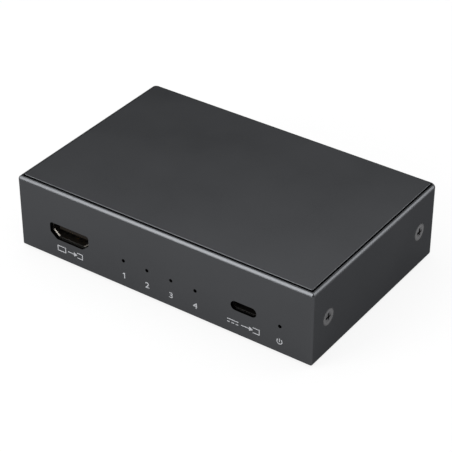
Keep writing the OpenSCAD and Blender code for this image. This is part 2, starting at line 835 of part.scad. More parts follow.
module regulator_chip() {
    color(BLACK) on_board(regulator_place) chip(regulator_l, regulator_w, regulator_h);
}

module power_inductor() {
    corner_r = 1.2;
    groove = 0.5;
    core_d = inductor_w - 2 * corner_r;
    color("#3a3b3d") on_board(inductor_place) difference() {
        linear_extrude(inductor_h) rounded_rect(inductor_w, inductor_w, corner_r);
        translate([0, 0, inductor_h - groove]) difference() {
            cylinder(h = groove + over, d = core_d + 2 * groove);
            cylinder(h = groove + over, d = core_d);
        }
    }
}

module bulk_capacitors() {
    crown_r = 0.4;
    color(ALUMINIUM) for (place = capacitor_places) on_board(place) translate([0, 0, can_base_t])
        rotate_extrude() difference() {
            square([can_d / 2, can_h]);
            translate([can_d / 2, can_h]) edge_waste(crown_r);
        }
}

module capacitor_bases() {
    margin = 0.15;
    w = can_d / 2 + margin;
    bevel = w / 3;
    color(BLACK) for (place = capacitor_places) on_board(place) linear_extrude(can_base_t)
        polygon([[-w, -w], [w - bevel, -w], [w, bevel - w], [w, w - bevel], [w - bevel, w], [-w, w]]);
}

module socket_protectors() {
    size = [2.5, 1, 0.6];
    spacing = 5;
    behind = 1.2;
    color(BLACK) at_video_sockets() for (side = [-1, 1])
        translate([(side * spacing - size.x) / 2, tail_y + contact_foot + behind, top_z - port_z])
            cube(size);
}

module chip_capacitors() {
    size = [1.6, 0.8, 0.8];
    spacing = 8;
    margin = 1.4;
    color("#b08d62") for (turn = [0, 90, 180, 270], side = [-1, 1]) on_board([0, chip_y]) rotate(turn)
        translate([(side * spacing - size.x) / 2, sink_w / 2 + margin, 0]) cube(size);
}

base_tray();
top_cover();
cover_screws();
rubber_feet();
circuit_board();
board_standoffs();
board_screws();
at_input() video_shell();  // input_shell
at_input() video_insulator();  // input_insulator
at_input() video_contacts();  // input_contacts
power_shell();
power_insulator();
power_contacts();
at_led(power_led_x) led();  // power_led
led_holders();
led_leads();
splitter_chip();
thermal_pad();
heat_sink();
control_chip();
clock_crystal();
regulator_chip();
power_inductor();
bulk_capacitors();
capacitor_bases();
socket_protectors();
chip_capacitors();
for (i = [1:4]) at_led(status_xs[i - 1]) led();
for (i = [1:output_count]) {
    at_output(i) video_shell();
    at_output(i) video_insulator();
    at_output(i) video_contacts();
}
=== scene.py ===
"""Looks of a one-to-four video splitter: a coated box, its sockets, lights, screws and prints.

Sizes are in metres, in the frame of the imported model: front towards -Y, Z up, floor at zero.
"""

import logging
import math
from collections.abc import Callable, Iterator, Mapping, Sequence
from contextlib import contextmanager
from dataclasses import dataclass
from enum import Enum
from functools import cached_property

import bpy
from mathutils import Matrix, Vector


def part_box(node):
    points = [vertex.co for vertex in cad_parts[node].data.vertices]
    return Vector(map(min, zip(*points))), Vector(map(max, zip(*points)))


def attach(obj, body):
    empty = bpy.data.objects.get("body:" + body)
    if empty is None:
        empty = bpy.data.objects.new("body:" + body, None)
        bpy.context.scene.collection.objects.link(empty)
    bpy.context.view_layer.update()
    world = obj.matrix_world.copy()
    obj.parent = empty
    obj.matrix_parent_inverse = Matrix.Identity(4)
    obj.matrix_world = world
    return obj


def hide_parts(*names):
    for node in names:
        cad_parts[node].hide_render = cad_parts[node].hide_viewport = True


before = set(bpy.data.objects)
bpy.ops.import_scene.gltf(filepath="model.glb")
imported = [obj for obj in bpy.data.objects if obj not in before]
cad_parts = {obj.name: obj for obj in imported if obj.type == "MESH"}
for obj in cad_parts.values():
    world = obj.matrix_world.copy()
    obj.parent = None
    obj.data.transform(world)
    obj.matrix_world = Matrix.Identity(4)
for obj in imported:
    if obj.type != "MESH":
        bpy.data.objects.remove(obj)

LOG = logging.getLogger("splitter")
MM = 0.001
ROOT = "root"

# Detail of soft and of fine noise.
SOFT = 2.0
FINE = 3.0
# The scale at which the bands of a wave texture lie one unit apart.
WAVE_SCALE = 0.314

Colour = tuple[float, float, float, float]
Point = tuple[float, float, float]


def srgb(red: int, green: int, blue: int) -> Colour:
    """Turns a screen colour into the linear one that shaders take.

    Args:
        red: Red from 0 to 255.
        green: Green from 0 to 255.
        blue: Blue from 0 to 255.

    Returns:
        The linear colour, opaque.
    """
    shares = [channel / 255 for channel in (red, green, blue)]
    linear = [s / 12.92 if s <= 0.04045 else ((s + 0.055) / 1.055) ** 2.4 for s in shares]
    return (*linear, 1.0)


def grey(level: float) -> Colour:
    """Returns an opaque grey of a linear level."""
    return (level, level, level, 1.0)


class Value:
    """An output socket that takes part in arithmetic: each operation adds a Math node."""

    def __init__(self, nodes: "Nodes", socket: bpy.types.NodeSocket | None) -> None:
        """Wraps an output socket of a tree, or nothing for a node without outputs."""
        self.nodes = nodes
        self.socket = socket

    def __add__(self, other: "Value | float") -> "Value":
        """Adds."""
        return self.nodes.math("ADD", self, other)

    def __sub__(self, other: "Value | float") -> "Value":
        """Subtracts."""
        return self.nodes.math("SUBTRACT", self, other)

    def __rsub__(self, other: float) -> "Value":
        """Subtracts from a number."""
        return self.nodes.math("SUBTRACT", other, self)

    def __mul__(self, other: "Value | float") -> "Value":
        """Multiplies."""
        return self.nodes.math("MULTIPLY", self, other)

    def __gt__(self, other: "Value | float") -> "Value":
        """Gives 1 where this is greater and 0 elsewhere."""
        return self.nodes.math("GREATER_THAN", self, other)

    def __lt__(self, other: "Value | float") -> "Value":
        """Gives 1 where this is less and 0 elsewhere."""
        return self.nodes.math("LESS_THAN", self, other)

    def __abs__(self) -> "Value":
        """Drops the sign."""
        return self.nodes.math("ABSOLUTE", self)

    __radd__ = __add__
    __rmul__ = __mul__

    def sibling(self, output: str) -> "Value":
        """Returns another output of the same node."""
        return Value(self.nodes, self.socket.node.outputs[output])


Input = Value | float | Colour | Point


class Nodes:
    """The nodes of one material or of the world."""

    def __init__(self, tree: bpy.types.NodeTree) -> None:
        """Empties the tree."""
        self.tree = tree
        tree.nodes.clear()

    def add(
        self,
        kind: str,
        settings: Mapping[str, object],
        inputs: Mapping[str | int, Input],
        output: str | int = 0,
    ) -> Value:
        """Adds a node.

        Args:
            kind: The node's type.
            settings: Its properties, set first; "stops" holds the stops of a ramp.
            inputs: Values or links of its input sockets, by name or place.
            output: The output to return.

        Returns:
            That output, ready for arithmetic.
        """
        node = self.tree.nodes.new(kind)
        for name, setting in settings.items():
            if name == "stops":
                self._set_stops(node.color_ramp, setting)
            else:
                setattr(node, name, setting)
        for name, value in inputs.items():
            if isinstance(value, Value):
                self.tree.links.new(value.socket, node.inputs[name])
            else:
                node.inputs[name].default_value = value
        return Value(self, node.outputs[output] if node.outputs else None)

    @staticmethod
    def _set_stops(ramp: bpy.types.ColorRamp, stops: Sequence[tuple[float, Colour]]) -> None:
        """Gives a ramp its stops, in order.

        Args:
            ramp: A ramp with its two first stops.
            stops: Place and colour of each stop.
        """
        while len(ramp.elements) < len(stops):
            ramp.elements.new(1.0)
        for element, (place, colour) in zip(ramp.elements, stops):
            element.position = place
            element.color = colour

    def math(self, operation: str, *terms: Value | float) -> Value:
        """Adds a Math node on values or numbers."""
        return self.add("ShaderNodeMath", {"operation": operation}, dict(enumerate(terms)))

    def blend(self, share: Input, under: Input, over: Input) -> Value:
        """Mixes two colours."""
        return self.add("ShaderNodeMix", {"data_type": "RGBA"}, {0: share, 6: under, 7: over}, 2)

    def place(self, stretch: Point = (1.0, 1.0, 1.0)) -> Value:
        """Returns the place on the piece, stretched."""
        at = self.add("ShaderNodeTexCoord", {}, {}, "Object")
        return self.add("ShaderNodeMapping", {}, {"Vector": at, "Scale": stretch})

    def cloud(self, place: Value, size: float, detail: float = SOFT) -> Value:
        """Returns noise from 0 to 1 whose patches measure about size."""
        inputs = {"Vector": place, "Scale": 1 / size, "Detail": detail}
        return self.add("ShaderNodeTexNoise", {}, inputs)

    def relief(self, height: Value, depth: float, strength: float = 1.0) -> Value:
        """Returns the normal of a surface with that height map, depth from lowest to highest."""
        inputs = {"Height": height, "Distance": depth, "Strength": strength}
        return self.add("ShaderNodeBump", {}, inputs)

    def surface(self, **inputs: Input) -> Value:
        """Adds the surface shader, with underscores in its socket names for spaces."""
        named = {name.replace("_", " "): value for name, value in inputs.items()}
        return self.add("ShaderNodeBsdfPrincipled", {}, named)


def make_material(name: str, shade: Callable[[Nodes], Value]) -> bpy.types.Material:
    """Makes a material.

    Args:
        name: Its name.
        shade: Builds its nodes and returns its shader.

    Returns:
        The material.
    """
    material = bpy.data.materials.new(name)
    material.use_nodes = True
    nodes = Nodes(material.node_tree)
    nodes.add("ShaderNodeOutputMaterial", {}, {"Surface": shade(nodes)})
    return material


@dataclass(frozen=True)
class Finish:
    """What all finishes have: a name, two tones that drift into each other, and a gloss."""

    name: str
    colour: Colour
    tone: Colour
    roughness: float

    @cached_property
    def material(self) -> bpy.types.Material:
        """The finish as a material, made on its first use."""
        return make_material(self.name, self.shade)

    def shade(self, nodes: Nodes) -> Value:
        """Builds the finish's nodes and returns its shader."""
        raise NotImplementedError


@dataclass(frozen=True)
class SatinCoat(Finish):
    """A thin dark coat on sheet metal, with a fine even grain, dull edges at a flat angle and
    painted shade on the cut edges inside the panel holes.
    """

    edge: float = 0.42
    grain: float = 0.16 * MM
    grain_depth: float = 0.004 * MM
    grain_gloss: float = 0.12
    drift: float = 24 * MM
    drift_gloss: float = 0.08
    # Painted shade on the cut edges inside the holes of the front and rear panels: its colour, and
    # where those edges are.
    cut_shade_colour: Colour = srgb(30, 30, 31)
    cut_depth: tuple[float, float] = (33.8 * MM, 34.72 * MM)
    cut_rise: tuple[float, float] = (3 * MM, 20 * MM)
    cut_reach: float = 50 * MM

    def shade(self, nodes: Nodes) -> Value:
        """Lays a slow change of tone under a fine grain that also breaks up the gloss, and paints
        shade on the cut edges in the panel holes.

        Args:
            nodes: The finish's nodes.

        Returns:
            Its shader.
        """
        place = nodes.place()
        drift = nodes.cloud(place, self.drift)
        grain = nodes.cloud(place, self.grain)
        coat = nodes.blend(0.5 * drift + 0.5 * grain, self.colour, self.tone)
        gloss = self.drift_gloss * (drift - 0.5) + self.grain_gloss * (grain - 0.5)
        return nodes.surface(
            # Painted shade: the cut edges inside the panel holes are darkened to the shade they lie
            # in.
            Base_Color=nodes.blend(self._cut_edge_shade(nodes, place), coat, self.cut_shade_colour),
            Metallic=1.0,
            Specular_Tint=grey(self.edge),
            Roughness=self.roughness + gloss,
            Normal=nodes.relief(grain, self.grain_depth),
        )

    def _cut_edge_shade(self, nodes: Nodes, place: Value) -> Value:
        """Finds the edges of the sheet inside the holes of the front and rear panels.

        Args:
            nodes: The finish's nodes.
            place: The place on the piece.

        Returns:
            The mask of those edges, where shade is painted over the coat.
        """
        x = nodes.add("ShaderNodeSeparateXYZ", {}, {"Vector": place}, "X")
        depth, rise = abs(x.sibling("Y")), x.sibling("Z")
        sheet = (depth > self.cut_depth[0]) * (depth < self.cut_depth[1])
        panel = (rise > self.cut_rise[0]) * (rise < self.cut_rise[1]) * (abs(x) < self.cut_reach)
        return sheet * panel


class Grain(Enum):
    """The way in which a metal was drawn or rolled, as the stretch of its marks."""

    ALONG_Y = (1.0, 0.04, 1.0)
    ALONG_Z = (1.0, 1.0, 0.04)
    EVEN = (1.0, 1.0, 1.0)


@dataclass(frozen=True)
class BareMetal(Finish):
    """Plated or bare metal with drawing marks and a patchy tarnish."""

    grain: Grain = Grain.EVEN
    mark: float = 0.15 * MM
    mark_depth: float = 0.003 * MM
    mark_gloss: float = 0.15
    tarnish: float = 3 * MM
    tarnish_share: float = 0.6
    tarnish_gloss: float = 0.1

    def shade(self, nodes: Nodes) -> Value:
        """Lets the marks and the tarnish change the colour and the gloss.

        Args:
            nodes: The finish's nodes.

        Returns:
            Its shader.
        """
        marks = nodes.cloud(nodes.place(self.grain.value), self.mark, FINE)
        tarnish = nodes.cloud(nodes.place(), self.tarnish)
        mixed = self.tarnish_share * tarnish + (1 - self.tarnish_share) * marks
        gloss = self.mark_gloss * (marks - 0.5) + self.tarnish_gloss * (tarnish - 0.5)
        return nodes.surface(
            Base_Color=self.wear_and_shade(nodes, nodes.blend(mixed, self.colour, self.tone)),
            Metallic=1.0,
            Roughness=self.roughness + gloss,
            Normal=nodes.relief(marks, self.mark_depth),
        )

    def wear_and_shade(self, nodes: Nodes, metal: Value) -> Value:
        """Returns the metal's colour with its wear and painted shade, here as it was."""
        return metal


@dataclass(frozen=True)
class ScrewSteel(BareMetal):
    """Screw steel with painted shade on its heads, round their recess and at their rim."""

    head_shade_colour: Colour = srgb(52, 52, 54)
    heads: tuple[Point, ...] = ((0.0, -26.45 * MM, 13.5 * MM), (0.0, 25.25 * MM, 13.5 * MM))
    head_r: float = 2.8 * MM
    # Distance from the axis as a share of the radius, and the share of bright metal there; the rest
    # is painted shade.
    rings: tuple[tuple[float, float], ...] = ((0.35, 0.3), (0.68, 1.0), (0.82, 0.9), (0.94, 0.1))

    def wear_and_shade(self, nodes: Nodes, metal: Value) -> Value:
        """Paints shade in rings round the axis of the nearest head.

        Args:
            nodes: The finish's nodes.
            metal: The bright metal's colour.

        Returns:
            The colour with painted shade.
        """
        kind, flat = "ShaderNodeVectorMath", (0.0, 1.0, 1.0)
        across = nodes.add(kind, {"operation": "MULTIPLY"}, {0: nodes.place(), 1: flat})
        front, rear = (
            nodes.add(kind, {"operation": "DISTANCE"}, {0: across, 1: head}, "Value")
            for head in self.heads
        )
        reach = nodes.math("MINIMUM", front, rear) * (1 / self.head_r)
        stops = [(place, grey(share)) for place, share in self.rings]
        bright = nodes.add("ShaderNodeValToRGB", {"stops": stops}, {"Fac": reach})
        # Painted shade: dark round the recess and at the rim, where the head meets its countersink.
        return nodes.blend(bright, self.head_shade_colour, metal)


@dataclass(frozen=True)
class Moulding(Finish):
    """Moulded plastic, rubber, epoxy or ceramic with the texture of its mould."""

    texture: float = 0.1 * MM
    texture_depth: float = 0.004 * MM
    texture_gloss: float = 0.15
    drift: float = 4 * MM
    specular: float = 0.5

    def shade(self, nodes: Nodes) -> Value:
        """Presses a fine texture into a colour that drifts between two tones.

        Args:
            nodes: The finish's nodes.

        Returns:
            Its shader.
        """
        place = nodes.place()
        drift = nodes.cloud(place, self.drift)
        texture = nodes.cloud(place, self.texture, FINE)
        return nodes.surface(
            Base_Color=nodes.blend(0.5 * drift + 0.5 * texture, self.colour, self.tone),
            Roughness=self.roughness + self.texture_gloss * (texture - 0.5),
            Normal=nodes.relief(texture, self.texture_depth),
            Specular_IOR_Level=self.specular,
        )


@dataclass(frozen=True)
class ClearEpoxy(Finish):
    """The cast lens of a light that is off: clear, with a little haze."""

    haze: float = 1.2 * MM
    haze_gloss: float = 0.1
    clearness: float = 0.85
    refraction: float = 1.53

    def shade(self, nodes: Nodes) -> Value:
        """Lets patches of haze dull a clear body.

        Args:
            nodes: The finish's nodes.

        Returns:
            Its shader.
        """
        haze = nodes.cloud(nodes.place(), self.haze)
        return nodes.surface(
            Base_Color=nodes.blend(haze, self.colour, self.tone),
            Roughness=self.roughness + self.haze_gloss * haze,
            Transmission_Weight=self.clearness,
            IOR=self.refraction,
        )


@dataclass(frozen=True)
class SolderMask(Finish):
    """A glossy black lacquer over copper tracks that show through as paler lines."""

    track: float = 1.3 * MM
    track_share: float = 0.75
    track_gap: float = 0.55
    track_lift: float = 0.03 * MM
    track_bump: float = 0.4
    patches_per_metre: float = 110.0
    weave: float = 0.05 * MM
    weave_gloss: float = 0.1
    lacquer: float = 0.4

    def shade(self, nodes: Nodes) -> Value:
        """Draws tracks along Y in some patches of the board and along X in the others.

        Args:
            nodes: The finish's nodes.

        Returns:
            Its shader.
        """
        place = nodes.place()
        cells = {"Vector": place, "Scale": self.patches_per_metre}
        cell = nodes.add("ShaderNodeTexVoronoi", {"distance": "MANHATTAN"}, cells, "Color")
        across = nodes.add("ShaderNodeSeparateColor", {}, {"Color": cell}) > 0.5
        by_x, by_y = (self._lines(nodes, place, axis) for axis in ("X", "Y"))
        tracks = across * by_x + (1 - across) * by_y
        glass = nodes.cloud(place, self.weave)
        mixed = self.track_share * tracks + (1 - self.track_share) * glass
        return nodes.surface(
            Base_Color=nodes.blend(mixed, self.colour, self.tone),
            Roughness=self.roughness + self.weave_gloss * (glass - 0.5),
            Normal=nodes.relief(tracks, self.track_lift, self.track_bump),
            Coat_Weight=self.lacquer,
        )

    def _lines(self, nodes: Nodes, place: Value, axis: str) -> Value:
        """Draws parallel tracks.

        Args:
            nodes: The finish's nodes.
            place: The place on the board.
            axis: The axis along which they follow each other.

        Returns:
            1 on the tracks and 0 between them.
        """
        bands = {"wave_type": "BANDS", "bands_direction": axis, "wave_profile": "SIN"}
        inputs = {"Vector": place, "Scale": WAVE_SCALE / self.track}
        return nodes.add("ShaderNodeTexWave", bands, inputs, "Fac") > self.track_gap


@dataclass(frozen=True)
class ScreenInk(Finish):
    """Matt printing ink, a little thinner over the grain of what it is printed on."""

    speckle: float = 0.12 * MM
    speckle_depth: float = 0.003 * MM
    speckle_gloss: float = 0.1

    def shade(self, nodes: Nodes) -> Value:
        """Thins the ink in fine speckles.

        Args:
            nodes: The finish's nodes.

        Returns:
            Its shader.
        """
        speckle = nodes.cloud(nodes.place(), self.speckle, FINE)
        return nodes.surface(
            Base_Color=nodes.blend(speckle, self.colour, self.tone),
            Roughness=self.roughness + self.speckle_gloss * (speckle - 0.5),
            Normal=nodes.relief(speckle, self.speckle_depth),
        )


CASE_COAT = SatinCoat("satin_case_coat", srgb(66, 67, 69), srgb(74, 75, 77), 0.3)
SCREW_STEEL = ScrewSteel("screw_steel_head_shade", srgb(94, 94, 96), srgb(78, 78, 80), 0.42)
FOOT_RUBBER = Moulding(
    "foot_rubber_black", srgb(22, 22, 23), srgb(34, 34, 35), 0.8, texture=0.25 * MM, specular=0.3
)
BOARD_MASK = SolderMask("board_solder_mask", srgb(20, 22, 22), srgb(36, 40, 38), 0.35)
BRASS = BareMetal(
    "standoff_brass_turned", srgb(200, 166, 92), srgb(176, 140, 70), 0.3, Grain.ALONG_Z
)
BRIGHT_STEEL = BareMetal("bright_steel_plate", srgb(196, 198, 200), srgb(170, 172, 175), 0.25)
SOCKET_STEEL = BareMetal(
    "socket_nickel", srgb(142, 138, 132), srgb(120, 116, 110), 0.3, Grain.ALONG_Y
)
# Painted shade: the socket nickel made darker, so that the power socket's inside looks shaded.
POWER_STEEL = BareMetal(
    "shaded_power_socket_nickel", srgb(104, 102, 100), srgb(86, 84, 82), 0.35, Grain.ALONG_Y
)
SOCKET_PLASTIC = Moulding(
    "socket_plastic_black", srgb(17, 14, 11), srgb(26, 21, 17), 0.6, specular=0.08
)
CONTACT_GOLD = BareMetal(
    "contact_gold_flash", srgb(206, 166, 98), srgb(178, 138, 76), 0.32, Grain.ALONG_Y, 0.05 * MM
)
LENS = ClearEpoxy("light_lens", srgb(208, 212, 208), srgb(184, 190, 186), 0.12)
HOLDER_PLASTIC = Moulding("holder_nylon_black", srgb(20, 20, 21), srgb(30, 30, 31), 0.55)
TINNED_WIRE = BareMetal("tinned_wire", srgb(186, 188, 190), srgb(158, 160, 162), 0.32)
CHIP_EPOXY = Moulding(
    "chip_epoxy_black", srgb(26, 26, 28), srgb(38, 38, 40), 0.6, texture=0.06 * MM
)
PAD_SILICONE = Moulding("thermal_pad_grey", srgb(138, 138, 146), srgb(118, 118, 126), 0.75)
ALUMINIUM = BareMetal(
    "milled_aluminium", srgb(186, 188, 190), srgb(160, 162, 165), 0.35, Grain.ALONG_Y
)
FERRITE = Moulding(
    "inductor_ferrite_grey", srgb(58, 58, 60), srgb(42, 42, 44), 0.7, texture=0.3 * MM
)
CERAMIC = Moulding("capacitor_ceramic", srgb(172, 138, 98), srgb(148, 114, 78), 0.45)
PANEL_INK = ScreenInk("panel_ink_grey", srgb(148, 149, 152), srgb(131, 132, 135), 0.6)


class Bench:
    """Hand modelling with Blender's operators, on one piece at a time."""

    WELD = 0.001 * MM

    @staticmethod
    def clear() -> None:
        """Leaves edit mode and deselects everything, the CAD nodes too."""
        if bpy.context.object and bpy.context.object.mode != "OBJECT":
            bpy.ops.object.mode_set(mode="OBJECT")
        bpy.ops.object.select_all(action="DESELECT")

    @staticmethod
    def take(*pieces: bpy.types.Object) -> bpy.types.Object:
        """Selects only these pieces and makes the first one active.

        Args:
            pieces: The pieces to select.

        Returns:
            The first of them.
        """
        Bench.clear()
        for piece in pieces:
            piece.select_set(True)
        bpy.context.view_layer.objects.active = pieces[0]
        return pieces[0]

    @staticmethod
    @contextmanager
    def editing(piece: bpy.types.Object) -> Iterator[None]:
        """Opens a piece in edit mode with all of it selected, and closes it again.

        Args:
            piece: The mesh to work on.

        Yields:
            Nothing, while the piece is open.
        """
        Bench.take(piece)
        bpy.ops.object.mode_set(mode="EDIT")
        bpy.ops.mesh.select_all(action="SELECT")
        yield
        bpy.ops.object.mode_set(mode="OBJECT")

    @staticmethod
    def pick_faces(
        piece: bpy.types.Object, wanted: Callable[[bpy.types.MeshPolygon], bool]
    ) -> None:
        """Enters edit mode with only the wanted faces selected.

        Args:
            piece: The mesh to work on.
            wanted: Says of a face whether it is selected.
        """
        Bench.take(piece)
        bpy.ops.object.mode_set(mode="EDIT")
        bpy.ops.mesh.select_mode(type="FACE")
        bpy.ops.mesh.select_all(action="DESELECT")
        bpy.ops.object.mode_set(mode="OBJECT")
        for polygon in piece.data.polygons:
            polygon.select = wanted(polygon)
        bpy.ops.object.mode_set(mode="EDIT")

    @staticmethod
    def keep_edges(piece: bpy.types.Object, wanted: Callable[[Vector, Vector], bool]) -> None:
        """Leaves only the wanted ones of the selected edges selected, in edit mode.

        Args:
            piece: The mesh that is being edited.
            wanted: Says of an edge's two ends whether it stays selected.
        """
        bpy.ops.mesh.select_mode(type="EDGE")
        bpy.ops.object.mode_set(mode="OBJECT")
        mesh = piece.data
        kept = {edge.index for edge in mesh.edges if edge.select}
        for element in (*mesh.polygons, *mesh.edges, *mesh.vertices):
            element.select = False
        for edge in mesh.edges:
            ends = [mesh.vertices[index].co for index in edge.vertices]
            edge.select = edge.index in kept and wanted(*ends)
        bpy.ops.object.mode_set(mode="EDIT")

    @staticmethod
    def duplicate(mesh: bpy.types.Mesh, name: str) -> bpy.types.Object:
        """Makes a new piece with a mesh of its own.

        Args:
            mesh: The mesh to copy.
            name: The new piece's name.

        Returns:
            The new piece.
        """
        piece = bpy.data.objects.new(name, mesh.copy())
        piece.data.name = name
        bpy.context.scene.collection.objects.link(piece)
        return piece

    @staticmethod
    def copy_node(node: str, name: str) -> bpy.types.Object:
        """Copies a CAD node into a new piece and merges its loose triangles.

        Args:
            node: The node to copy.
            name: The new piece's name.

        Returns:
            The copy, in the node's place.
        """
        piece = Bench.duplicate(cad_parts[node].data, name)
        with Bench.editing(piece):
            bpy.ops.mesh.remove_doubles(threshold=Bench.WELD)
            bpy.ops.mesh.customdata_custom_splitnormals_clear()
        return piece

    @staticmethod
    def modify(piece: bpy.types.Object, kind: str, **settings: object) -> None:
        """Adds a modifier to a piece and applies it.

        Args:
            piece: The mesh to change.
            kind: The modifier's type.
            settings: Its properties.
        """
        Bench.take(piece)
        modifier = piece.modifiers.new(kind.lower(), kind)
        for name, setting in settings.items():
            setattr(modifier, name, setting)
        bpy.ops.object.modifier_apply(modifier=modifier.name)

    @staticmethod
    def settle(piece: bpy.types.Object) -> None:
        """Moves a piece's place, turn and scale into its mesh."""
        Bench.take(piece)
        bpy.ops.object.transform_apply(location=True, rotation=True, scale=True)

    @staticmethod
    def join(pieces: Sequence[bpy.types.Object], name: str) -> bpy.types.Object:
        """Joins pieces into one mesh.

        Args:
            pieces: The pieces, the first of which stays.
            name: The name of the joined piece.

        Returns:
            The joined piece.
        """
        joined = Bench.take(*pieces)
        bpy.ops.object.join()
        joined.name = joined.data.name = name
        return joined


def dress_nodes(finish: Finish, *nodes: str) -> None:
    """Gives CAD nodes a finish and reports them.

    Args:
        finish: The finish to give.
        nodes: Names of the nodes.
    """
    for name in nodes:
        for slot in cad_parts[name].material_slots:
            slot.material = finish.material
        LOG.info("%s: %s", name, finish.name)


def add_piece(piece: bpy.types.Object, finish: Finish) -> None:
    """Finishes a new piece, lets it ride on the part and reports it.

    Args:
        piece: The piece, in its place.
        finish: Its finish.
    """
    piece.data.materials.clear()
    piece.data.materials.append(finish.material)
    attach(piece, ROOT)
    LOG.info("%s: %s, %d faces", piece.name, finish.name, len(piece.data.polygons))


@dataclass
class Housing:
    """The tray, its cover, the cover's screws and the feet."""

    sheets: tuple[str, ...] = ("base_tray", "top_cover")

    def dress(self) -> None:
        """Coats the sheet metal and finishes the screws and feet."""
        dress_nodes(CASE_COAT, *self.sheets)
        dress_nodes(SCREW_STEEL, "cover_screws")
        dress_nodes(FOOT_RUBBER, "rubber_feet")


@dataclass
class Sockets:
    """The video sockets in front and behind, and the power socket."""

    front: str = "input"
    rear: tuple[str, ...] = ("output_1", "output_2", "output_3", "output_4")
    power: str = "power"
    # The bevel on a lip, and how far behind the mouth its edge may lie.
    lip: float = 0.25 * MM
    mouth: float = 0.025 * MM
    # The least share of a sloped wall's normal along X and along Z.
    slope: float = 0.5
    # The angle up to which faces meet smoothly.
    smooth: float = math.radians(25)

    def build(self) -> None:
        """Coins the lips of the front video shell and copies it to the rear sockets."""
        coined = self._coined_shell()
        copies = {name: self._rear_copy(coined, name) for name in self.rear}
        for name, shell in {self.front: coined, **copies}.items():
            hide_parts(f"{name}_shell")
            add_piece(shell, SOCKET_STEEL)

    def dress(self) -> None:
        """Plates the power shell and the contacts and moulds the insulators."""
        names = (self.front, self.power, *self.rear)
        dress_nodes(POWER_STEEL, f"{self.power}_shell")
        dress_nodes(SOCKET_PLASTIC, *(f"{name}_insulator" for name in names))
        dress_nodes(CONTACT_GOLD, *(f"{name}_contacts" for name in names))

    def _coined_shell(self) -> bpy.types.Object:
        """Models the front video shell with a bevel inside each of its two sloped lips.

        Returns:
            The shell, in the front socket's place.
        """
        node = f"{self.front}_shell"
        mouth_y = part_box(node)[0].y + self.mouth
        shell = Bench.copy_node(node, f"{self.front}_coined_shell")
        Bench.pick_faces(shell, lambda face: min(face.normal.z, abs(face.normal.x)) > self.slope)
        bpy.ops.mesh.region_to_loop()
        Bench.keep_edges(shell, lambda start, end: max(start.y, end.y) < mouth_y)
        bpy.ops.mesh.bevel(offset=self.lip, segments=1, affect="EDGES")
        bpy.ops.object.mode_set(mode="OBJECT")
        bpy.ops.object.shade_smooth_by_angle(angle=self.smooth)
        return shell

    def _rear_copy(self, shell: bpy.types.Object, name: str) -> bpy.types.Object:
        """Copies the front shell to a socket that faces backwards.

        Args:
            shell: The front shell.
            name: The rear socket.

        Returns:
            The copy, in that socket's place.
        """
        here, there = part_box(f"{self.front}_shell"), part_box(f"{name}_shell")
        middles = [(low.x + high.x) / 2 for low, high in (here, there)]
        copy = Bench.duplicate(shell.data, f"{name}_coined_shell")
        copy.rotation_euler = (0, 0, math.pi)
        copy.location = (sum(middles), here[0].y + there[1].y, 0)
        Bench.settle(copy)
        return copy


@dataclass
class Indicators:
    """The lights behind the five small holes, with their holders and leads."""

    lights: tuple[str, ...] = (
        "status_led_1", "status_led_2", "status_led_3", "status_led_4", "power_led"
    )

    def dress(self) -> None:
        """Casts the lenses and finishes what holds them."""
        dress_nodes(LENS, *self.lights)
        dress_nodes(HOLDER_PLASTIC, "led_holders")
        dress_nodes(TINNED_WIRE, "led_leads")


@dataclass
class BoardWorks:
    """The circuit board, what carries it and what it carries."""

    chips: tuple[str, ...] = (
        "splitter_chip", "control_chip", "regulator_chip", "socket_protectors"
    )

    def dress(self) -> None:
        """Finishes the board and every component on it."""
        dress_nodes(BOARD_MASK, "circuit_board")
        dress_nodes(BRASS, "board_standoffs")
        dress_nodes(BRIGHT_STEEL, "board_screws", "clock_crystal")
        dress_nodes(CHIP_EPOXY, *self.chips)
        dress_nodes(PAD_SILICONE, "thermal_pad")
        dress_nodes(ALUMINIUM, "heat_sink", "bulk_capacitors")
        dress_nodes(FERRITE, "power_inductor")
        dress_nodes(HOLDER_PLASTIC, "capacitor_bases")
        dress_nodes(CERAMIC, "chip_capacitors")


